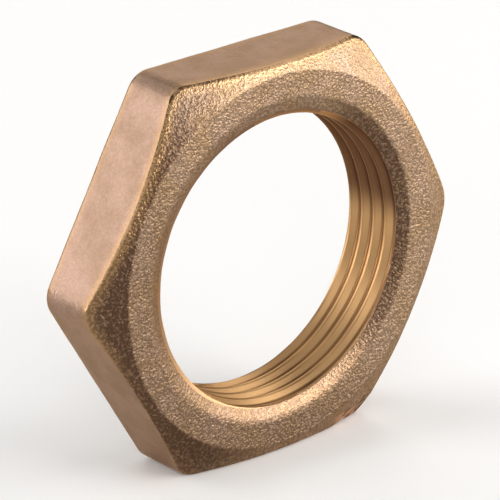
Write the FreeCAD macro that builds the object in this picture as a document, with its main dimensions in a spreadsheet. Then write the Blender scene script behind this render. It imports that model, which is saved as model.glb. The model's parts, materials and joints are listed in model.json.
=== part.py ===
import FreeCAD, Part
import math
import os

import Sketcher

# Hexagon pipe nut (backnut) for a G 1 1/4 parallel pipe thread, one piece of cast brass.
# It stands on one of its flats. The thread axis runs along Y, the chamfered face looks along -Y,
# and the origin is on the axis, halfway through the thickness. All lengths are millimetres.

SIZES = [
    ("across_flats", 54.0),
    ("nut_thickness", 11.0),
    # rounding of the six corners between the flats
    ("corner_radius", 3.6),
    # from the middle of a flat in to the flat ring of the front face
    ("ring_inset", 1.4),
    # slope of the coned part of the front face, in degrees
    ("chamfer_angle", 25.0),
    # the bore stands at the crests of the thread
    ("thread_minor_diameter", 38.952),
    # how far each coned mouth opens beyond the bore, and how deep it goes
    ("front_mouth_flare", 2.3),
    ("front_mouth_depth", 1.25),
    ("rear_mouth_flare", 1.7),
    ("rear_mouth_depth", 1.6),
    # soft edges left by the casting: round the flats, round the ring, and at both mouths
    ("cast_edge_radius", 0.7),
    ("ring_edge_radius", 1.5),
    ("mouth_edge_radius", 2.6),
]
SIDES = 6
TOLERANCE = 1e-4

doc = FreeCAD.newDocument("pipe_nut")


def make_sheet():
    """The driving dimensions, one aliased row each."""
    sheet = doc.addObject("Spreadsheet::Sheet", "sizes")
    for row, (alias, value) in enumerate(SIZES, start=1):
        sheet.set(f"A{row}", alias)
        sheet.set(f"B{row}", str(value))
        sheet.setAlias(f"B{row}", alias)
    doc.recompute()
    return sheet


sheet = make_sheet()


def add_sketch(body, name, role):
    """An empty sketch on one of the body's own origin planes."""
    sketch = body.newObject("Sketcher::SketchObject", name)
    plane = next(item for item in body.Origin.OriginFeatures if item.Role == role)
    sketch.AttachmentSupport = [(plane, "")]
    sketch.MapMode = "FlatFace"
    return sketch


def add_loop(sketch, corners):
    """A closed loop of lines, each end tied to the start of the next; line i leaves corner i."""
    points = [FreeCAD.Vector(x, y, 0) for x, y in corners]
    count = len(points)
    for index in range(count):
        sketch.addGeometry(Part.LineSegment(points[index], points[(index + 1) % count]), False)
    for index in range(count):
        rule(sketch, "Coincident", index, 2, (index + 1) % count, 1)


def rule(sketch, *terms):
    return sketch.addConstraint(Sketcher.Constraint(*terms))


def driven(sketch, expression, value, *terms):
    """A dimension that starts at a value and follows the sheet."""
    index = rule(sketch, *terms, value)
    sketch.setExpression(f"Constraints[{index}]", expression)


def middle(edge):
    return edge.valueAt((edge.FirstParameter + edge.LastParameter) / 2)


def axis_distance(point):
    return math.hypot(point.x, point.z)


def near(value, target):
    return abs(value - target) < TOLERANCE


def add_fillet(body, name, base, wanted, expression):
    """A fillet on the base's edges that pass a test."""
    edges = enumerate(base.Shape.Edges, start=1)
    fillet = body.newObject("PartDesign::Fillet", name)
    fillet.Base = (base, [f"Edge{number}" for number, edge in edges if wanted(edge)])
    fillet.setExpression("Radius", expression)
    doc.recompute()
    return fillet


def add_groove(body, name, sketch, base):
    """A full turn of the sketch about the thread axis, cut from the base."""
    groove = body.newObject("PartDesign::Groove", name)
    groove.Profile = sketch
    groove.ReferenceAxis = (sketch, ["V_Axis"])
    groove.Angle = 360
    doc.recompute()
    if not groove.Shape.Volume < base.Shape.Volume:
        raise RuntimeError(f"{name} cuts nothing")
    return groove


def hexagon_prism(body):
    """The hexagon, flats at top and bottom, padded both ways from the middle plane."""
    sketch = add_sketch(body, "hexagon", "XZ_Plane")
    corner = sheet.across_flats / math.sqrt(3)
    turns = [2 * math.pi * index / SIDES for index in range(SIDES)]
    add_loop(sketch, [(corner * math.cos(turn), corner * math.sin(turn)) for turn in turns])
    centre = FreeCAD.Vector(0, 0, 0)
    circle = sketch.addGeometry(Part.Circle(centre, FreeCAD.Vector(0, 0, 1), corner), True)
    rule(sketch, "Coincident", circle, 3, -1, 1)
    for side in range(SIDES):
        rule(sketch, "PointOnObject", side, 1, circle)
    for side in range(1, SIDES):
        rule(sketch, "Equal", 0, side)
    top, bottom = 1, 4
    rule(sketch, "Horizontal", top)
    driven(sketch, "sizes.across_flats", sheet.across_flats, "DistanceY", bottom, 1, top, 1)
    pad = body.newObject("PartDesign::Pad", "hexagon_prism")
    pad.Profile = sketch
    pad.setExpression("Length", "sizes.nut_thickness")
    pad.Midplane = True
    doc.recompute()
    return pad


def face_chamfer(body, base):
    """The cone that takes the corners off the front face and leaves a flat ring inside the flats."""
    sketch = add_sketch(body, "chamfer_section", "XY_Plane")
    ring = sheet.across_flats / 2 - sheet.ring_inset
    clear = sheet.across_flats
    half = sheet.nut_thickness / 2
    angle = math.radians(sheet.chamfer_angle)
    add_loop(sketch, [(ring, -half), (clear, -half), (clear, -half + (clear - ring) * math.tan(angle))])
    face, outside, slope = range(3)
    rule(sketch, "Horizontal", face)
    rule(sketch, "Vertical", outside)
    driven(sketch, "sizes.across_flats / 2 - sizes.ring_inset", ring, "DistanceX", -1, 1, face, 1)
    driven(sketch, "sizes.across_flats", clear, "DistanceX", -1, 1, face, 2)
    driven(sketch, "sizes.nut_thickness / 2", half, "DistanceY", face, 1, -1, 1)
    driven(sketch, "sizes.chamfer_angle * 1 deg", angle, "Angle", face, 1, slope, 2)
    return add_groove(body, "face_chamfer", sketch, base)


def thread_bore(body, base):
    """The bore at the thread's minor diameter, with a coned mouth at each end."""
    sketch = add_sketch(body, "bore_section", "XY_Plane")
    wall = sheet.thread_minor_diameter / 2
    half = sheet.nut_thickness / 2
    front_flare, front_depth = sheet.front_mouth_flare, sheet.front_mouth_depth
    rear_flare, rear_depth = sheet.rear_mouth_flare, sheet.rear_mouth_depth
    add_loop(sketch, [
        (0, -half),
        (wall + front_flare, -half),
        (wall, -half + front_depth),
        (wall, half - rear_depth),
        (wall + rear_flare, half),
        (0, half),
    ])
    front, front_cone, bore, rear_cone, rear, axis = range(6)
    rule(sketch, "PointOnObject", front, 1, -2)
    rule(sketch, "PointOnObject", axis, 1, -2)
    rule(sketch, "Horizontal", front)
    rule(sketch, "Horizontal", rear)
    rule(sketch, "Vertical", bore)
    driven(sketch, "sizes.nut_thickness / 2", half, "DistanceY", front, 1, -1, 1)
    driven(sketch, "sizes.nut_thickness / 2", half, "DistanceY", -1, 1, axis, 1)
    driven(sketch, "sizes.thread_minor_diameter / 2", wall, "DistanceX", -1, 1, bore, 1)
    driven(sketch, "sizes.front_mouth_flare", front_flare, "DistanceX", front_cone, 2, front_cone, 1)
    driven(sketch, "sizes.front_mouth_depth", front_depth, "DistanceY", front_cone, 1, front_cone, 2)
    driven(sketch, "sizes.rear_mouth_flare", rear_flare, "DistanceX", rear_cone, 1, rear_cone, 2)
    driven(sketch, "sizes.rear_mouth_depth", rear_depth, "DistanceY", rear_cone, 1, rear_cone, 2)
    return add_groove(body, "thread_bore", sketch, base)


def make_nut():
    """The whole casting: prism, rounded corners, coned face, bore, then the soft cast edges."""
    body = doc.addObject("PartDesign::Body", "pipe_nut")
    body.Label = "pipe_nut"
    half = sheet.nut_thickness / 2
    ring = sheet.across_flats / 2 - sheet.ring_inset
    wall = sheet.thread_minor_diameter / 2
    slope = math.tan(math.radians(sheet.chamfer_angle))

    def along_axis(edge):
        return near(middle(edge).y, 0)

    def on_outer_rim(edge):
        point = middle(edge)
        radius = axis_distance(point)
        on_cone = radius > ring + TOLERANCE and near(point.y, (radius - ring) * slope - half)
        on_rear = radius > ring and near(point.y, half)
        return on_rear or (on_cone and not isinstance(edge.Curve, Part.Line))

    def on_ring_rim(edge):
        point = middle(edge)
        return near(point.y, -half) and near(axis_distance(point), ring)

    def on_mouth_rim(edge):
        point = middle(edge)
        radius = axis_distance(point)
        on_front = near(point.y, -half) and near(radius, wall + sheet.front_mouth_flare)
        on_rear = near(point.y, half) and near(radius, wall + sheet.rear_mouth_flare)
        return on_front or on_rear

    prism = hexagon_prism(body)
    rounded = add_fillet(body, "corner_rounds", prism, along_axis, "sizes.corner_radius")
    coned = face_chamfer(body, rounded)
    bored = thread_bore(body, coned)
    rims = add_fillet(body, "cast_edges", bored, on_outer_rim, "sizes.cast_edge_radius")
    ringed = add_fillet(body, "ring_edge", rims, on_ring_rim, "sizes.ring_edge_radius")
    add_fillet(body, "mouth_edges", ringed, on_mouth_rim, "sizes.mouth_edge_radius")
    return body


def check(part):
    """Stops if any object failed to compute or the part has no sound solid."""
    for item in doc.Objects:
        if "Invalid" in item.State or "Error" in item.State:
            raise RuntimeError(f"{item.Name} failed: {item.State}")
    if part.Shape.isNull() or not part.Shape.isValid():
        raise RuntimeError(f"{part.Label} has no sound shape")


nut = make_nut()
doc.recompute()
check(nut)
os.makedirs("parts", exist_ok=True)
nut.Shape.exportStep(f"parts/{nut.Label}.step")
box = nut.Shape.optimalBoundingBox(True, False)
print(f"{nut.Label}: {len(nut.Shape.Solids)} solid, {nut.Shape.Volume / 1000:.3f} cm3, "
      f"{box.XLength:.3f} x {box.YLength:.3f} x {box.ZLength:.3f} mm")
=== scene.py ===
# %% [markdown]
# This is a pipe nut, also called a backnut: a thin hexagon of cast brass with a wide pipe thread.
# It is screwed along a pipe until its flat rear face locks against a fitting or a tank wall.
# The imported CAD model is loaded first, as a frame that never moves. It gives the size of the nut,
# and everything below is laid over it. The work is done in millimetres and scaled to metres at the end.

import json
import math

import bmesh
import bpy
from mathutils import Matrix, Vector, noise


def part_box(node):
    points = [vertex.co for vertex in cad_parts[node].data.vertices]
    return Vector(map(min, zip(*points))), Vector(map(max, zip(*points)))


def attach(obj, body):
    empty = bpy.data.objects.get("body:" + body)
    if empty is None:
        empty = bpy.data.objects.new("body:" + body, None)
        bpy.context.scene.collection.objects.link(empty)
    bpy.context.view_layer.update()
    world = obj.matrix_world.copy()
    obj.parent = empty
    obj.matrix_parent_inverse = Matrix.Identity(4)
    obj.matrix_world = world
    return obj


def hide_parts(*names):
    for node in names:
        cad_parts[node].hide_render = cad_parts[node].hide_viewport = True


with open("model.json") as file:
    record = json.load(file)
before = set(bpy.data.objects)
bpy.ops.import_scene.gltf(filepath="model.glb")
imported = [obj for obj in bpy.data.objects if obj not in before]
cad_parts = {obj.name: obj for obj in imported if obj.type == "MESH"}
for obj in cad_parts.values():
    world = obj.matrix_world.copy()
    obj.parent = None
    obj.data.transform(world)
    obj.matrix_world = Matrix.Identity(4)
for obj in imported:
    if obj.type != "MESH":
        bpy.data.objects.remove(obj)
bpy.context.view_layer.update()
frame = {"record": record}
MM = 0.001
low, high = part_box("pipe_nut")
half_flats = high.z / MM
half_thickness = high.y / MM
corner_reach = high.x / MM
print(f"nut: {2 * half_flats:.1f} mm across flats, {2 * half_thickness:.1f} mm thick")

# %% [markdown]
# The outline is a hexagon with rounded corners. A round bar could be cut with six planes, but then
# the rounded corners and the soft cast edges would have to be repaired by hand. It is easier to turn
# a section about the axis, as on a lathe, and to pull the round rim in to the hexagon afterwards.
# For that, one function gives the distance from the axis to the rim at any angle.

# %% The rounded hexagon
SIDES = 6
SIDE_TURN = 2 * math.pi / SIDES
sharp_reach = half_flats / math.cos(SIDE_TURN / 2)
corner_radius = (sharp_reach - corner_reach) / (sharp_reach / half_flats - 1)
arc_centre = corner_reach - corner_radius
arc_half_width = corner_radius * math.sin(SIDE_TURN / 2)
arc_end = math.atan2(arc_half_width, arc_centre + corner_radius * math.cos(SIDE_TURN / 2))


def off_corner(angle):
    """How far an angle is from the nearest corner; a corner lies at angle 0."""
    return abs((angle + SIDE_TURN / 2) % SIDE_TURN - SIDE_TURN / 2)


def rim_radius(angle):
    """The distance from the axis to the rounded hexagon."""
    turn = off_corner(angle)
    if turn > arc_end:
        return half_flats / math.cos(turn - SIDE_TURN / 2)
    sideways = arc_centre * math.sin(turn)
    return arc_centre * math.cos(turn) + math.sqrt(corner_radius**2 - sideways**2)


print(f"corner rounding {corner_radius:.2f} mm, corner reach {rim_radius(0):.2f} mm")

# %% [markdown]
# The section has seven points: it starts inside the front mouth, crosses the flat ring, climbs the
# cone that takes the corners off the front, follows the side to the rear face and ends inside the
# rear mouth. It could be drawn by hand in the editor, but points that are worked out from the nut's
# own sizes stay right when a size changes.

# %% Draw the section
RING_INSET = 1.4
CONE_ANGLE = math.radians(25)
FRONT_FLARE, FRONT_DEPTH = 2.3, 1.25
REAR_FLARE, REAR_DEPTH = 1.7, 1.6
# the casting and the threaded wall meet on a circle inside each mouth
JOIN = 20.25
front, rear = -half_thickness, half_thickness
pipe_thread = next(m for m in frame["record"]["mounts"] if m["name"] == "pipe_thread")
minor_radius = pipe_thread["dims"]["r_mm"]
ring_rim = half_flats - RING_INSET
cone_rise = math.tan(CONE_ANGLE)


def front_mouth(y):
    """Radius of the front mouth's cone at a place along the axis."""
    return minor_radius + FRONT_FLARE * (1 - (y - front) / FRONT_DEPTH)


def rear_mouth(y):
    return minor_radius + REAR_FLARE * (1 - (rear - y) / REAR_DEPTH)


def cone_height(radius):
    """Where the front cone stands, along the axis, at a distance from the axis."""
    return front + (radius - ring_rim) * cone_rise


front_join_y = front + FRONT_DEPTH * (1 - (JOIN - minor_radius) / FRONT_FLARE)
rear_join_y = rear - REAR_DEPTH * (1 - (JOIN - minor_radius) / REAR_FLARE)
section = [
    (JOIN, front_join_y),
    (front_mouth(front), front),
    (ring_rim, front),
    (corner_reach, cone_height(corner_reach)),
    (corner_reach, rear),
    (rear_mouth(rear), rear),
    (JOIN, rear_join_y),
]
print(f"section: {len(section)} points, ring out to {ring_rim:.1f} mm, thread from {minor_radius:.2f} mm")

# %% [markdown]
# A full spin turns the section into a round blank, as a lathe would. Use_merge closes the seam where
# the spin ends. Then each point of the rim is moved in to the hexagon, and on the front it slides down
# the cone as it goes, so the cone meets the flats in the curved edges that such nuts have.

# %% Turn the section and press it to a hexagon
STEPS = 480


def spin_section(bm, points, steps, lead=0.0):
    """Turns an open line of (radius, y) points once about the nut's axis, moving on by the lead."""
    line = [bm.verts.new((radius, y, 0)) for radius, y in points]
    edges = [bm.edges.new(pair) for pair in zip(line, line[1:])]
    bmesh.ops.spin(
        bm,
        geom=line + edges,
        axis=(0, 1, 0),
        cent=(0, 0, 0),
        dvec=(0, lead / steps, 0),
        angle=2 * math.pi,
        steps=steps,
        use_merge=lead == 0,
    )


def polar(point):
    """Angle round the axis and distance from it."""
    return math.atan2(point.z, point.x), math.hypot(point.x, point.z)


def place(vert, angle, radius, y):
    vert.co = (radius * math.cos(angle), y, radius * math.sin(angle))


def is_outer(radius):
    """True for the points of the blank that lie on its rim."""
    return radius > ring_rim + RING_INSET / 2


casting = bmesh.new()
spin_section(casting, section, STEPS)
for vert in casting.verts:
    angle, radius = polar(vert.co)
    if is_outer(radius):
        radius = rim_radius(angle)
        at_front = vert.co.y < 0
        place(vert, angle, radius, cone_height(radius) if at_front else rear)
print(f"blank: {len(casting.faces)} faces")

# %% [markdown]
# No edge of a sand casting is sharp. The five edges of the section are rounded by a bevel, and each
# bevel starts as far from its edge as a round of that radius would. The mouths are the softest: the
# photo shows the front one as a broad smooth rim. After that the long faces are cut into narrow
# strips, because the uneven cast skin needs points to move.

# %% Round the cast edges
NEAR = 1e-3
LONG_EDGE = 0.6
STRIP_CUTS = 15


def is_near(value, target):
    return abs(value - target) < NEAR


def on_front_mouth(radius, y):
    return is_near(radius, front_mouth(front)) and is_near(y, front)


def on_ring_rim(radius, y):
    return is_near(radius, ring_rim) and is_near(y, front)


def on_cone_rim(radius, y):
    return is_outer(radius) and y < 0


def on_rear_rim(radius, y):
    return is_outer(radius) and is_near(y, rear)


def on_rear_mouth(radius, y):
    return is_near(radius, rear_mouth(rear)) and is_near(y, rear)


def round_edges(bm, belongs, radius, turn, segments):
    """Bevels one ring of edges to a radius; turn is the angle between the two faces' normals."""
    ring = [e for e in bm.edges if all(belongs(polar(v.co)[1], v.co.y) for v in e.verts)]
    bmesh.ops.bevel(
        bm,
        geom=ring,
        offset=radius * math.tan(turn / 2),
        offset_type="OFFSET",
        affect="EDGES",
        segments=segments,
        profile=0.5,
        material=-1,
        loop_slide=True,
    )
    return len(ring)


MOUTH_ROUND, RING_ROUND, CAST_ROUND = 2.6, 0.8, 0.7
STRONG_BEND, SLIGHT_BEND = 8, 5
front_mouth_turn = math.atan2(FRONT_DEPTH, FRONT_FLARE)
rear_mouth_turn = math.atan2(REAR_DEPTH, REAR_FLARE)
for belongs, radius, turn, segments in (
    (on_front_mouth, MOUTH_ROUND, front_mouth_turn, STRONG_BEND),
    (on_ring_rim, RING_ROUND, CONE_ANGLE, SLIGHT_BEND),
    (on_cone_rim, CAST_ROUND, math.pi / 2 - CONE_ANGLE, STRONG_BEND),
    (on_rear_rim, CAST_ROUND, math.pi / 2, STRONG_BEND),
    (on_rear_mouth, MOUTH_ROUND, rear_mouth_turn, STRONG_BEND),
):
    count = round_edges(casting, belongs, radius, turn, segments)
    print(f"{belongs.__name__[3:]}: {count} edges rounded to {radius} mm")

long_edges = [e for e in casting.edges if e.calc_length() > LONG_EDGE]
bmesh.ops.subdivide_edges(casting, edges=long_edges, cuts=STRIP_CUTS, use_grid_fill=True)
print(f"casting: {len(casting.faces)} faces")

# %% [markdown]
# The thread is cut after casting, by a tool with one tooth's shape that moves on by one pitch each
# turn. A spin with a step along the axis does the same: one tooth is drawn from crest to crest, round
# at the crest and at the root as pipe threads are, and one turn of it is copied along the axis. The
# photo shows the inner edge of the mouth as an almost unbroken circle, so this thread is a shallow
# one. The mouths are cones, so a point that would stand inside a cone is moved out to it, and what
# lies past the ends is folded on to the circle where the casting starts.

# %% Cut the thread
PITCH = 2.309
TOOTH_ROUND = 0.5
FLANK_TURN = math.radians(45)
flank = PITCH / 2 - 2 * TOOTH_ROUND * math.sin(FLANK_TURN)
THREAD_DEPTH = 2 * TOOTH_ROUND * (1 - math.cos(FLANK_TURN)) + flank * math.tan(FLANK_TURN)
ROUND_STEPS = 4
# where a crest stands at angle 0, in pitches from the middle of the nut, and the turns in front of it
CREST_PHASE, TURNS_AHEAD = 0.558, 4
TURNS = 6
# the round of a crest, from its middle to where it meets the flank: along the axis, and depth
crest = []
for step in range(ROUND_STEPS + 1):
    turn = FLANK_TURN * step / ROUND_STEPS
    crest.append((TOOTH_ROUND * math.sin(turn), TOOTH_ROUND * (1 - math.cos(turn))))
root = [(PITCH / 2 - along, THREAD_DEPTH - depth) for along, depth in reversed(crest)]
half_tooth = crest + root
start = (CREST_PHASE - TURNS_AHEAD) * PITCH
tooth = [(minor_radius + depth, start + along) for along, depth in half_tooth]
tooth += [(minor_radius + depth, start + PITCH - along) for along, depth in half_tooth[-2::-1]]

thread = bmesh.new()
spin_section(thread, tooth, STEPS, PITCH)
one_turn = thread.verts[:] + thread.edges[:] + thread.faces[:]
for turn in range(1, TURNS):
    made = bmesh.ops.duplicate(thread, geom=one_turn)["geom"]
    copied = [item for item in made if isinstance(item, bmesh.types.BMVert)]
    bmesh.ops.translate(thread, vec=(0, turn * PITCH, 0), verts=copied)
for vert in thread.verts:
    angle, radius = polar(vert.co)
    y = min(max(vert.co.y, front_join_y), rear_join_y)
    place(vert, angle, max(radius, front_mouth(y), rear_mouth(y)), y)
print(f"thread: {THREAD_DEPTH:.2f} mm deep, {len(thread.faces)} faces before merging")

# %% [markdown]
# Casting and thread become one closed skin. Points that share a place are merged first, then all
# faces are turned outwards, because a spin can leave them inside out.

# %% Join the casting and the thread
MERGE = 2e-3


def as_mesh(bm, name):
    mesh = bpy.data.meshes.new(name)
    bm.to_mesh(mesh)
    bm.free()
    return mesh


thread_mesh = as_mesh(thread, "thread_wall")
casting.from_mesh(thread_mesh)
bpy.data.meshes.remove(thread_mesh)
bmesh.ops.remove_doubles(casting, verts=casting.verts, dist=MERGE)
bmesh.ops.delete(casting, geom=[e for e in casting.edges if not e.link_faces], context="EDGES")
bmesh.ops.recalc_face_normals(casting, faces=casting.faces)
open_edges = [e for e in casting.edges if not e.is_manifold]
triangles = sum(len(f.verts) - 2 for f in casting.faces)
print(f"skin: {triangles} triangles, {len(open_edges)} open edges")

# %% [markdown]
# The finish changes over the nut, and a material can only follow that if the mesh tells it where. A
# picture painted on the unwrapped mesh would do that, but the shapes to follow are already known as
# formulas, so numbers are stored on the points as named attributes instead.
# The first is sand, how grainy the skin is. It is full on the front, weak on the flats, which were
# dressed after casting, and nothing on the cut thread. The top of the cone came out smoother, and so
# is one side of the front mouth, which was skimmed by a tool that ran off centre.

# %% Store how grainy the skin is
FLAT_GRAIN, SIDE_FADE = 0.3, 0.4
REAR_GRAIN, REAR_FADE = 0.6, 0.3
MOUTH_FROM, MOUTH_TO = 21.8, 22.3
SKIM_GRAIN, SKIM_ANGLE = 0.5, math.radians(-125)
SKIM_FROM, SKIM_TO = 0.3, 0.7
CLEAN_GRAIN, CLEAN_ANGLE = 0.6, math.radians(75)
CLEAN_FROM, CLEAN_TO = 0.85, 0.97
CONE_FADE = 0.3
sand = casting.verts.layers.float.new("sand")


def ease(value, start, end):
    """Goes smoothly from 0 at the start to 1 at the end."""
    share = min(max((value - start) / (end - start), 0), 1)
    return share * share * (3 - 2 * share)


def facing(angle, towards):
    """1 at one angle round the axis, falling to 0 on the opposite side."""
    return (1 + math.cos(angle - towards)) / 2


def inside_mouth(radius):
    return 1 - ease(radius, MOUTH_FROM, MOUTH_TO)


def beyond_ring(radius):
    return ease(radius, ring_rim - CONE_FADE, ring_rim + CONE_FADE)


def skimmed(angle, radius):
    """How far the tool has smoothed the front mouth."""
    return inside_mouth(radius) * ease(facing(angle, SKIM_ANGLE), SKIM_FROM, SKIM_TO)


def is_cut(radius, y):
    """True on the thread, but not on what its grooves leave of the two coned mouths."""
    return radius < JOIN + NEAR and not is_near(radius, max(front_mouth(y), rear_mouth(y)))


for vert in casting.verts:
    angle, radius = polar(vert.co)
    y = vert.co.y
    grain = FLAT_GRAIN + (1 - FLAT_GRAIN) * ease(rim_radius(angle) - radius, 0, SIDE_FADE)
    grain *= 1 - (1 - REAR_GRAIN) * ease(y, rear - REAR_FADE, rear)
    if y < 0:
        cleaned = beyond_ring(radius) * ease(facing(angle, CLEAN_ANGLE), CLEAN_FROM, CLEAN_TO)
        grain *= 1 - (1 - SKIM_GRAIN) * skimmed(angle, radius) - (1 - CLEAN_GRAIN) * cleaned
    vert[sand] = 0 if is_cut(radius, y) else grain
print(f"sand: {sum(v[sand] for v in casting.verts) / len(casting.verts):.2f} on average")

# %% [markdown]
# Edges rub bright in a crate of other nuts, and one lower corner was knocked and scraped. Both follow the
# distance to an edge. The rub is real wear, but it is painted strong along the upper edges and weak along
# the lower ones, so it is partly a painted highlight; bare is the front edge of that corner. The skimmed
# side of the mouth counts as rubbed too, because the tool left it bright.

# %% Store where the skin is rubbed or knocked
RUB_FROM, RUB_TO = 0.2, 1.7
LEAST_RUB, RUB_HIGHLIGHT_ANGLE, HIGHLIGHT_SIDE_FROM, HIGHLIGHT_SIDE_TO = 0.1, math.radians(95), 0.3, 0.6
SKIM_RUB = 0.15
KNOCK_ANGLE = math.radians(-63)
KNOCK_FROM, KNOCK_TO = math.radians(4.5), math.radians(8)
KNOCK_IN_FROM, KNOCK_IN_TO = 1.5, 2.3
HALF_WORN = 0.5
rub_and_highlight = casting.verts.layers.float.new("rub_and_highlight")
bare = casting.verts.layers.float.new("bare")


def behind_cone(radius, y):
    """How far a point lies behind the front cone, along the axis."""
    return max(y - cone_height(radius), 0)


for vert in casting.verts:
    angle, radius = polar(vert.co)
    y = vert.co.y
    inward = max(rim_radius(angle) - radius, 0)
    worn = 1 - ease(inward + min(behind_cone(radius, y), rear - y), RUB_FROM, RUB_TO)
    # the gold rub is painted stronger on the upper edges, as a painted highlight
    upper_highlight = ease(facing(angle, RUB_HIGHLIGHT_ANGLE), HIGHLIGHT_SIDE_FROM, HIGHLIGHT_SIDE_TO)
    worn *= LEAST_RUB + (1 - LEAST_RUB) * upper_highlight
    vert[rub_and_highlight] = max(worn, SKIM_RUB * skimmed(angle, radius))
    beside = 1 - ease(abs(angle - KNOCK_ANGLE), KNOCK_FROM, KNOCK_TO)
    vert[bare] = beside * (1 - ease(inward + behind_cone(radius, y), KNOCK_IN_FROM, KNOCK_IN_TO))
rub_and_highlight_points = sum(v[rub_and_highlight] > HALF_WORN for v in casting.verts)
knocked_points = sum(v[bare] > HALF_WORN for v in casting.verts)
print(f"{rub_and_highlight_points} points rubbed, {knocked_points} knocked")

# %% [markdown]
# Shade is painted on the casting as a brown colour. It is painted dark on the right side of the mouths
# and on the left of the cone, lighter low in the mouths and on the lower left of the ring, and in the
# thread it is a thin line of painted shade in the roots. The upper right of the thread is painted dark
# too, so a second number tells how much shade is painted there.

# %% Store where shade is painted
# these numbers place painted shade on the mouths, the ring and the cone
MOUTH_LOW_SHADE, MOUTH_SIDE_SHADE = 0.4, 0.75
BROWN_ANGLE, BROWN_FROM, BROWN_TO = math.radians(6), 0.7, 0.89
TINT_ANGLE, TINT_FROM, TINT_TO = math.radians(-90), 0.2, 0.6
RING_SHADE, RING_ANGLE, RING_FROM, RING_TO = 0.3, math.radians(-140), 0.4, 0.8
CONE_SHADE, CONE_SIDE, CONE_FROM, CONE_TO = 0.95, math.radians(-172), 0.6, 0.85
# painted shade on the upper right of the thread, a little lighter on the crests
THREAD_SHADE_ANGLE, THREAD_SHADE_FROM, THREAD_SHADE_TO = math.radians(31), 0.915, 0.975
CREST_SHADE = 0.8
painted_shade_and_depth = casting.verts.layers.float.new("painted_shade_and_depth")
thread_shade = casting.verts.layers.float.new("thread_shade")


def front_painted_shade(angle, radius, y):
    """The painted shade on the ring and the cone, darker on the cone."""
    coned = beyond_ring(radius) * (1 - ease(behind_cone(radius, y), 0, CONE_FADE))
    on_ring = RING_SHADE * ease(facing(angle, RING_ANGLE), RING_FROM, RING_TO)
    on_cone = CONE_SHADE * ease(facing(angle, CONE_SIDE), CONE_FROM, CONE_TO)
    return (on_ring + (on_cone - on_ring) * coned) * ease(-y, 0, half_thickness)


def mouth_painted_shade(angle, radius):
    """The painted shade in the mouths, dark on the right and lighter below."""
    brown = ease(facing(angle, BROWN_ANGLE), BROWN_FROM, BROWN_TO)
    tint = MOUTH_LOW_SHADE * ease(facing(angle, TINT_ANGLE), TINT_FROM, TINT_TO)
    return (tint + (MOUTH_SIDE_SHADE - tint) * brown) * inside_mouth(radius)


for vert in casting.verts:
    angle, radius = polar(vert.co)
    y = vert.co.y
    if is_cut(radius, y):
        # in the thread the number is the depth, which places the painted shade line in the roots
        vert[painted_shade_and_depth] = (radius - minor_radius) / THREAD_DEPTH
        # painted shade on the upper right of the thread
        vert[thread_shade] = ease(facing(angle, THREAD_SHADE_ANGLE), THREAD_SHADE_FROM, THREAD_SHADE_TO)
        vert[thread_shade] *= CREST_SHADE + (1 - CREST_SHADE) * vert[painted_shade_and_depth]
    else:
        # painted shade on the front and in the mouths
        vert[painted_shade_and_depth] = max(front_painted_shade(angle, radius, y), mouth_painted_shade(angle, radius))
thickest = max(v[painted_shade_and_depth] for v in casting.verts)
thread_shade_points = sum(v[thread_shade] > HALF_WORN for v in casting.verts)
print(f"film: {thickest:.2f} at its thickest, {thread_shade_points} points of the thread tarnished")

# %% [markdown]
# The last attribute holds the place on the tooth's outline, as a point on a circle so that it has no
# seam, because the tool's fine lines follow the thread. Each face also gets the number of its
# material: 0 is the casting, and 1 is everything inside the circle where the two were joined.

# %% Store the path of the thread tool
tool = casting.verts.layers.float_vector.new("tool")
for vert in casting.verts:
    angle, radius = polar(vert.co)
    turned = 2 * math.pi * vert.co.y / PITCH + angle
    vert[tool] = Vector((math.cos(turned), math.sin(turned), 0))
for face in casting.faces:
    angle, radius = polar(face.calc_center_median())
    face.material_index = 1 if radius < JOIN else 0
    face.smooth = True
print(f"{sum(f.material_index for f in casting.faces)} faces of cut thread")

# %% [markdown]
# A casting is never quite flat. Each point of the cast skin sinks a little along its normal, by a
# slow noise, a quicker one and the sand's own grain, so the light runs unevenly over the faces. At
# the knocked corner the skin is torn in streaks along the edge. It only sinks, so the nut stays
# inside its CAD size. A sculpting brush would do the same by hand, but noise gives it evenly.

# %% Make the cast skin uneven
SLOW_WAVE, SLOW_SINK = 7.0, 0.10
QUICK_WAVE, QUICK_SINK = 2.2, 0.06
GRAIN_WAVE, GRAIN_SINK = 0.9, 0.03
STREAK_LENGTH, STREAK_WIDTH, STREAK_SINK = 2.4, 0.45, 0.4
CAST_FADE = 1.2
casting.normal_update()


def dip(point):
    """A noise that runs from 0, untouched, down to about -1."""
    return (noise.noise(point) - 1) / 2


for vert in casting.verts:
    angle, radius = polar(vert.co)
    cast = ease(radius, JOIN, JOIN + CAST_FADE)
    along = (angle - KNOCK_ANGLE) * radius
    streak = Vector((along / STREAK_LENGTH, radius / STREAK_WIDTH, vert.co.y / STREAK_WIDTH))
    sunk = dip(vert.co / SLOW_WAVE) * SLOW_SINK
    sunk += dip(vert.co / QUICK_WAVE) * QUICK_SINK * vert[sand]
    sunk += dip(vert.co / GRAIN_WAVE) * GRAIN_SINK * vert[sand]
    sunk += dip(streak) * STREAK_SINK * vert[bare]
    vert.co += vert.normal * cast * sunk
print(f"deepest dip: {SLOW_SINK + QUICK_SINK + GRAIN_SINK + STREAK_SINK:.2f} mm")

# %% [markdown]
# The mesh goes to metres and becomes an object that rides on the only body and stands for the CAD
# node. Faces that meet at a small angle are shaded as one smooth surface, and sharper edges, as where
# the thread runs out into the mouth, stay sharp.

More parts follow.
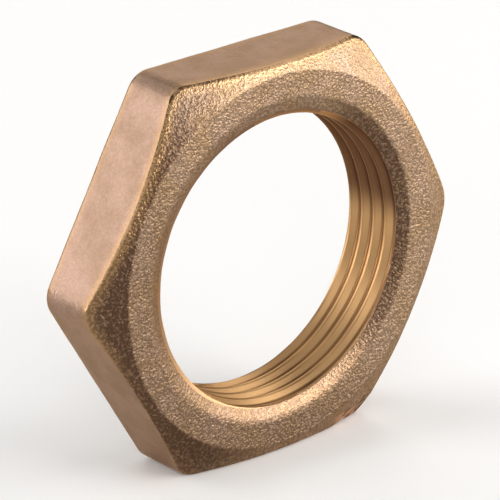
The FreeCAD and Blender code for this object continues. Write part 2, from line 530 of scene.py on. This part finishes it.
# %% Make the object
SMOOTH_BELOW = math.radians(35)
bmesh.ops.scale(casting, vec=(MM, MM, MM), verts=casting.verts)
nut_mesh = as_mesh(casting, "pipe_nut_casting")
nut_mesh.set_sharp_from_angle(angle=SMOOTH_BELOW)
nut = bpy.data.objects.new("pipe_nut_casting", nut_mesh)
bpy.context.scene.collection.objects.link(nut)
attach(nut, "root")
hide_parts("pipe_nut")
print(f"{nut.name}: {len(nut_mesh.vertices)} points, {len(nut_mesh.polygons)} faces")

# %% [markdown]
# Both finishes are brass, so both are metal with a coloured reflection. Three helpers keep the node
# code short: one turns a written colour into the linear light that Blender mixes, one adds a node,
# and one turns a size in millimetres into a texture scale.

# %% Material helpers
# socket numbers of a Mix node for colours: its factor, its two colours and its result
MIX, FIRST, SECOND, MIXED = 0, 6, 7, 2


def linear(hex_colour):
    """An sRGB hex colour as linear red, green and blue, with a full alpha."""
    shares = [int(hex_colour[i : i + 2], 16) / 255 for i in (1, 3, 5)]
    return tuple(s / 12.92 if s <= 0.04045 else ((s + 0.055) / 1.055) ** 2.4 for s in shares) + (1,)


def add_node(tree, kind, inputs, out=0, **settings):
    """Adds a node, sets it up, fills its inputs with links or values, and hands on one output."""
    node = tree.nodes.new(kind)
    for name, value in settings.items():
        setattr(node, name, value)
    for name, value in inputs.items():
        if isinstance(value, bpy.types.NodeSocket):
            tree.links.new(value, node.inputs[name])
        else:
            node.inputs[name].default_value = value
    return node.outputs[out]


def per_metre(size_mm):
    """The texture scale that gives marks of a size in millimetres."""
    return 1 / (size_mm * MM)


print(f"marks of 1 mm have a texture scale of {per_metre(1):.0f}")

# %% [markdown]
# Sand-cast brass, blasted, with its flats dressed. To the eye it is a matt pinkish tan, golden where
# the edges are rubbed, with fine grains that glint and small dark pits between them. The grain could
# be all geometry, but marks of a third of a millimetre would need millions of points, so the coarse
# part is in the mesh and the fine part is a bump. Noise alone looks like crumpled foil. A Voronoi
# texture, which measures how far a point is from the middle of its cell, makes it round pebbles.
# Casting sand is finer, about 0.2 mm, but grains of that size would not show in the picture.

# %% Sand-cast brass: its grain
GRAIN, PEBBLE, PEBBLE_SHARE = 0.3, 0.48, -0.5
GRAIN_HEIGHT = 0.125
brass = bpy.data.materials.new("sand-cast blasted brass")
brass.use_nodes = True
tree = brass.node_tree
skin = tree.nodes["Principled BSDF"]
skin.inputs["Metallic"].default_value = 1
# brass keeps its warm colour where the eye glances along it
GLANCE = linear("#f3e0cb")
skin.inputs["Specular Tint"].default_value = GLANCE
spot = add_node(tree, "ShaderNodeTexCoord", {}, "Object")
grainy = add_node(tree, "ShaderNodeAttribute", {}, "Fac", attribute_name="sand")
grains = add_node(
    tree,
    "ShaderNodeTexNoise",
    {"Vector": spot, "Scale": per_metre(GRAIN), "Detail": 1.0, "Roughness": 0.5},
    "Fac",
)
pebbles = add_node(
    tree,
    "ShaderNodeTexVoronoi",
    {"Vector": spot, "Scale": per_metre(PEBBLE), "Smoothness": 0.6},
    "Distance",
    feature="SMOOTH_F1",
)
height = add_node(
    tree, "ShaderNodeMath", {0: pebbles, 1: PEBBLE_SHARE, 2: grains}, operation="MULTIPLY_ADD"
)
relief = add_node(tree, "ShaderNodeMath", {0: height, 1: grainy}, operation="MULTIPLY")
bump = add_node(
    tree, "ShaderNodeBump", {"Distance": GRAIN_HEIGHT * MM, "Height": relief}, "Normal"
)
tree.links.new(bump, skin.inputs["Normal"])
print(f"grains of {GRAIN} mm, {GRAIN_HEIGHT} mm high")

# %% [markdown]
# The colour is built up in layers: first slow clouds of pink and ochre, because brass doesn't tarnish
# evenly, and then painted shade in brown. Its place comes from the mesh. The painted shade is darkest
# between the grains and lighter on their tops, so it also follows the grain's height.

# %% Sand-cast brass: its colours
CLOUD, CLOUD_FROM, CLOUD_TO, OCHRE_MOST = 4.5, 0.35, 0.65, 0.8
# the painted shade's share deep between the grains and on their tops
DEEP, TALL = 0.1, 0.6
DEEP_SHADE, TALL_SHADE = 1.25, 0.65
clouds = add_node(
    tree,
    "ShaderNodeTexNoise",
    {"Vector": spot, "Scale": per_metre(CLOUD), "Detail": 3.0, "Roughness": 0.6},
    "Fac",
)
ochre_share = add_node(
    tree,
    "ShaderNodeMapRange",
    {"Value": clouds, "From Min": CLOUD_FROM, "From Max": CLOUD_TO, "To Max": OCHRE_MOST},
    interpolation_type="SMOOTHSTEP",
)
sandy = add_node(
    tree,
    "ShaderNodeMix",
    {MIX: ochre_share, FIRST: linear("#a1866f"), SECOND: linear("#9b7f60")},
    MIXED,
    data_type="RGBA",
)
painted_shade_over = add_node(tree, "ShaderNodeAttribute", {}, "Fac", attribute_name="painted_shade_and_depth")
between_grains = add_node(
    tree,
    "ShaderNodeMapRange",
    {
        "Value": height,
        "From Min": DEEP,
        "From Max": TALL,
        "To Min": DEEP_SHADE,
        "To Max": TALL_SHADE,
    },
    interpolation_type="SMOOTHSTEP",
)
# painted shade, darker between the grains than on their tops
shade_share = add_node(tree, "ShaderNodeMath", {0: painted_shade_over, 1: between_grains}, operation="MULTIPLY")
browned = add_node(
    tree,
    "ShaderNodeMix",
    {MIX: shade_share, FIRST: sandy, SECOND: linear("#5a4334")},
    MIXED,
    data_type="RGBA",
)
print("pink, ochre and brown film mixed")

# %% [markdown]
# Where the skin has little grain it is one of the flats, which were dressed and are cleaner.
# The rubbed edges turn golden; the gold is wear, and where it is stronger on the upper edges it is a
# painted highlight. Last, shade is painted into the pits by the same pattern that makes them, so that the
# dark spots lie where the bump is low. A separate noise would put them anywhere.

# %% Sand-cast brass: its flats, edges and pits
DRESSED_AT, GRAINY_AT = 0.3, 0.5
GOLD_SHARE = 0.6
PIT_FLOOR, PIT_RIM, PIT_SHADE_MOST = 0.15, 0.4, 0.45
dressed = add_node(
    tree,
    "ShaderNodeMix",
    {MIX: ochre_share, FIRST: linear("#9f8373"), SECOND: linear("#8c725e")},
    MIXED,
    data_type="RGBA",
)
dressed_share = add_node(
    tree,
    "ShaderNodeMapRange",
    {"Value": grainy, "From Min": GRAINY_AT, "From Max": DRESSED_AT},
)
tone = add_node(
    tree,
    "ShaderNodeMix",
    {MIX: dressed_share, FIRST: browned, SECOND: dressed},
    MIXED,
    data_type="RGBA",
)
rubbed_and_highlit = add_node(tree, "ShaderNodeAttribute", {}, "Fac", attribute_name="rub_and_highlight")
# the golden rub: wear, and a painted highlight where it is stronger on the upper edges
gold = add_node(tree, "ShaderNodeMath", {0: rubbed_and_highlit, 1: GOLD_SHARE}, operation="MULTIPLY")
edged = add_node(
    tree,
    "ShaderNodeMix",
    {MIX: gold, FIRST: tone, SECOND: linear("#a98459")},
    MIXED,
    data_type="RGBA",
)
# painted shade in the pits, where the bump is low
sunken = add_node(
    tree,
    "ShaderNodeMapRange",
    {"Value": height, "From Min": PIT_RIM, "From Max": PIT_FLOOR, "To Max": PIT_SHADE_MOST},
    interpolation_type="SMOOTHSTEP",
)
pit_shade = add_node(tree, "ShaderNodeMath", {0: sunken, 1: grainy}, operation="MULTIPLY")
pitted = add_node(
    tree,
    "ShaderNodeMix",
    {MIX: pit_shade, FIRST: edged, SECOND: linear("#49372a")},
    MIXED,
    data_type="RGBA",
)
print("dressed flats, gold edges and stained pits mixed")

# %% [markdown]
# The knock on the lower corner has laid bare fresh metal: bright copper-coloured scratches, drawn out
# along the edge, with dark lines of dirt between them. A Mapping node stretches a noise into streaks.
# Then the gloss: grain scatters the light, and a rubbed edge is smoother than the skin beside it.

# %% Sand-cast brass: its scratches and its gloss
KNOCK_LEAN = math.radians(-26)
SCRATCH_LENGTH, SCRATCH_WIDTH = 3.0, 0.35
SCRATCH_FROM, SCRATCH_TO, SCRATCH_SHARE = 0.44, 0.6, 0.85
FLAT_ROUGH, GRAIN_ROUGH, RUB_ROUGH = 0.34, 0.12, -0.1
scraped = add_node(tree, "ShaderNodeAttribute", {}, "Fac", attribute_name="bare")
stretch = (SCRATCH_LENGTH * MM, SCRATCH_WIDTH * MM, SCRATCH_WIDTH * MM)
streak_place = add_node(
    tree,
    "ShaderNodeMapping",
    {"Vector": spot, "Rotation": (0, KNOCK_LEAN, 0), "Scale": stretch},
    vector_type="TEXTURE",
)
streaks = add_node(
    tree, "ShaderNodeTexNoise", {"Vector": streak_place, "Scale": 1.0, "Detail": 2.0}, "Fac"
)
scratch = add_node(
    tree,
    "ShaderNodeMapRange",
    {"Value": streaks, "From Min": SCRATCH_FROM, "From Max": SCRATCH_TO},
    interpolation_type="SMOOTHSTEP",
)
scratched = add_node(
    tree,
    "ShaderNodeMix",
    {MIX: scratch, FIRST: linear("#4f3829"), SECOND: linear("#cda084")},
    MIXED,
    data_type="RGBA",
)
knocked = add_node(tree, "ShaderNodeMath", {0: scraped, 1: SCRATCH_SHARE}, operation="MULTIPLY")
colour = add_node(
    tree,
    "ShaderNodeMix",
    {MIX: knocked, FIRST: pitted, SECOND: scratched},
    MIXED,
    data_type="RGBA",
)
grain_rough = add_node(
    tree, "ShaderNodeMath", {0: grainy, 1: GRAIN_ROUGH, 2: FLAT_ROUGH}, operation="MULTIPLY_ADD"
)
roughness = add_node(
    tree, "ShaderNodeMath", {0: rubbed_and_highlit, 1: RUB_ROUGH, 2: grain_rough}, operation="MULTIPLY_ADD"
)
tree.links.new(colour, skin.inputs["Base Color"])
tree.links.new(roughness, skin.inputs["Roughness"])
nut_mesh.materials.append(brass)
print(f"{brass.name}: {len(tree.nodes)} nodes")

# %% [markdown]
# The thread was cut by a tool after casting, so it has no grain. To the eye it is warmer and smoother
# than the skin, with fine lines along the cut and a thin line of painted shade down in each root. The
# upper right is painted dark brown, as painted shade. What the grooves leave of the mouth keeps the
# colour of the casting.

# %% Tool-cut thread
THREAD_ROUGH = 0.4
TOOL_LINE, TOOL_LINE_HEIGHT = 0.092, 0.02
ROOT_FROM, ROOT_TO, ROOT_SHADE_MOST = 0.8, 1.0, 0.75
THREAD_SHADE_MOST = 0.95
thread_brass = bpy.data.materials.new("tool-cut brass thread")
thread_brass.use_nodes = True
tree = thread_brass.node_tree
skin = tree.nodes["Principled BSDF"]
skin.inputs["Metallic"].default_value = 1
skin.inputs["Roughness"].default_value = THREAD_ROUGH
skin.inputs["Specular Tint"].default_value = GLANCE
path = add_node(tree, "ShaderNodeAttribute", {}, "Vector", attribute_name="tool")
# the way round the circle that the mesh stores is one pitch long
circle_radius = PITCH / (2 * math.pi)
lines = add_node(
    tree,
    "ShaderNodeTexNoise",
    {"Vector": path, "Scale": circle_radius / TOOL_LINE, "Detail": 2.0},
    "Fac",
)
bump = add_node(
    tree, "ShaderNodeBump", {"Distance": TOOL_LINE_HEIGHT * MM, "Height": lines}, "Normal"
)
depth = add_node(tree, "ShaderNodeAttribute", {}, "Fac", attribute_name="painted_shade_and_depth")
# a thin line of painted shade down in each root
root_shade = add_node(
    tree,
    "ShaderNodeMapRange",
    {"Value": depth, "From Min": ROOT_FROM, "From Max": ROOT_TO, "To Max": ROOT_SHADE_MOST},
    interpolation_type="SMOOTHSTEP",
)
cut = add_node(
    tree,
    "ShaderNodeMix",
    {MIX: root_shade, FIRST: linear("#c39a6b"), SECOND: linear("#6b4a2f")},
    MIXED,
    data_type="RGBA",
)
# painted shade on the upper right of the thread
painted_dark = add_node(tree, "ShaderNodeAttribute", {}, "Fac", attribute_name="thread_shade")
dark_share = add_node(tree, "ShaderNodeMath", {0: painted_dark, 1: THREAD_SHADE_MOST}, operation="MULTIPLY")
darkened = add_node(
    tree,
    "ShaderNodeMix",
    {MIX: dark_share, FIRST: cut, SECOND: linear("#57382a")},
    MIXED,
    data_type="RGBA",
)
uncut = add_node(tree, "ShaderNodeAttribute", {}, "Fac", attribute_name="sand")
colour = add_node(
    tree,
    "ShaderNodeMix",
    {MIX: uncut, FIRST: darkened, SECOND: linear("#8a6d58")},
    MIXED,
    data_type="RGBA",
)
tree.links.new(colour, skin.inputs["Base Color"])
tree.links.new(bump, skin.inputs["Normal"])
nut_mesh.materials.append(thread_brass)
print(f"{thread_brass.name}: {len(tree.nodes)} nodes")

# %% [markdown]
# The nut stands on a plain pale floor. It is one large square, matt, so that it only gives the nut
# something to stand on, a soft shadow and a pale reflection from below.

# %% Floor
FLOOR_HALF = 6
floor_bm = bmesh.new()
bmesh.ops.create_grid(floor_bm, x_segments=1, y_segments=1, size=FLOOR_HALF)
bmesh.ops.translate(floor_bm, vec=(0, 0, low.z), verts=floor_bm.verts)
floor = bpy.data.objects.new("floor", as_mesh(floor_bm, "floor"))
bpy.context.scene.collection.objects.link(floor)
paint = bpy.data.materials.new("matt pale floor")
paint.use_nodes = True
paint_shader = paint.node_tree.nodes["Principled BSDF"]
paint_shader.inputs["Base Color"].default_value = linear("#fbfaf8")
paint_shader.inputs["Roughness"].default_value = 1
paint_shader.inputs["Specular IOR Level"].default_value = 0
floor.data.materials.append(paint)
print(f"floor at {low.z / MM:.1f} mm")

# %% [markdown]
# Metal shows what it reflects, so each soft box stands where a face that should be bright looks: the
# eye's line to the face, mirrored in it, points at the lamp. The large key at the front right and a
# brighter strip below it light the coned top edge, the lower mouth and the bottom of the thread. A
# box at the front left lights the right side of the thread. Two long strips, above and on the left,
# follow the line of reflections that a rounded edge sweeps through, so those edges shine. One box
# behind on the left is seen in the upper left flat, one behind on the right in the top flat, and the
# small ones fill the corners between them. The world stays nearly dark, so the faces keep contrast.

# %% Lamps
WORLD_GLOW = 0.02
# name, azimuth, elevation, width, height, glow; angles in degrees, sizes in metres
LAMPS = (
    ("key_front", -52, 29, 1.2, 0.85, 1.3),
    ("key_strip", -62, 13, 0.65, 0.25, 12.0),
    ("front_left", -120, 38, 0.6, 0.5, 0.78),
    ("top_strip", 2, 50, 1.5, 0.28, 2.15),
    ("left_strip", -155, 25, 1.5, 0.36, 2.1),
    ("overhead", 180, 80, 1.2, 0.3, 1.2),
    ("back_high", 100, 46, 0.5, 0.35, 1.7),
    ("side_right", -20, 3, 0.9, 0.2, 7.0),
    ("back_left", 130, 22, 0.75, 0.6, 2.9),
    ("left_low", 155, 6, 0.4, 0.25, 6.5),
    ("back_right", 58, 23, 0.6, 0.7, 1.25),
)


def softbox(name, azimuth, elevation, width, height, glow):
    """A soft lamp a metre off that faces the nut; glow is how bright it looks, where 1 is white."""
    lamp = bpy.data.lights.new(name, "AREA")
    lamp.shape = "RECTANGLE"
    lamp.size = width
    lamp.size_y = height
    lamp.energy = glow * math.pi * width * height
    holder = bpy.data.objects.new(name, lamp)
    turn, lift = math.radians(azimuth), math.radians(elevation)
    toward = Vector((math.cos(turn) * math.cos(lift), math.sin(turn) * math.cos(lift), math.sin(lift)))
    holder.location = toward
    holder.rotation_euler = (-toward).to_track_quat("-Z", "Y").to_euler()
    holder.visible_camera = False
    bpy.context.scene.collection.objects.link(holder)
    return lamp.energy


power = sum(softbox(*lamp) for lamp in LAMPS)
world = bpy.data.worlds.new("studio")
world.use_nodes = True
sky = world.node_tree.nodes["Background"].inputs
sky["Color"].default_value = linear("#ffffff")
sky["Strength"].default_value = WORLD_GLOW
bpy.context.scene.world = world
print(f"{len(LAMPS)} lamps, {power:.1f} W")

# %% [markdown]
# The camera stands where the photographer's did: the turn, the height, the tilt and the distance were
# found by fitting the outline and the bore. A long lens keeps the flats nearly parallel, as there.

# %% Camera
AZIMUTH, ELEVATION, ROLL = (math.radians(turn) for turn in (-39.93, 22.47, -0.756))
DISTANCE, ACROSS, UPWARD = 541.5, -0.823, -0.074
LENS_LENGTH, SENSOR_WIDTH = 300, 36
back = Vector(
    (
        math.sin(AZIMUTH) * math.cos(ELEVATION),
        -math.cos(AZIMUTH) * math.cos(ELEVATION),
        math.sin(ELEVATION),
    )
)
level = Vector((math.cos(AZIMUTH), math.sin(AZIMUTH), 0))
upright = back.cross(level)
right = level * math.cos(ROLL) + upright * math.sin(ROLL)
above = upright * math.cos(ROLL) - level * math.sin(ROLL)
lens = bpy.data.cameras.new("photo_camera")
lens.lens = LENS_LENGTH
lens.sensor_width = SENSOR_WIDTH
camera = bpy.data.objects.new("photo_camera", lens)
stand = (back * DISTANCE + right * ACROSS + above * UPWARD) * MM
camera.matrix_world = Matrix.Translation(stand) @ Matrix((right, above, back)).transposed().to_4x4()
bpy.context.scene.collection.objects.link(camera)
bpy.context.scene.camera = camera
bpy.context.scene.view_settings.view_transform = "Standard"
print(f"camera {stand.length:.3f} m from the nut")

# %% [markdown]

# %% Finish
print("scene built")
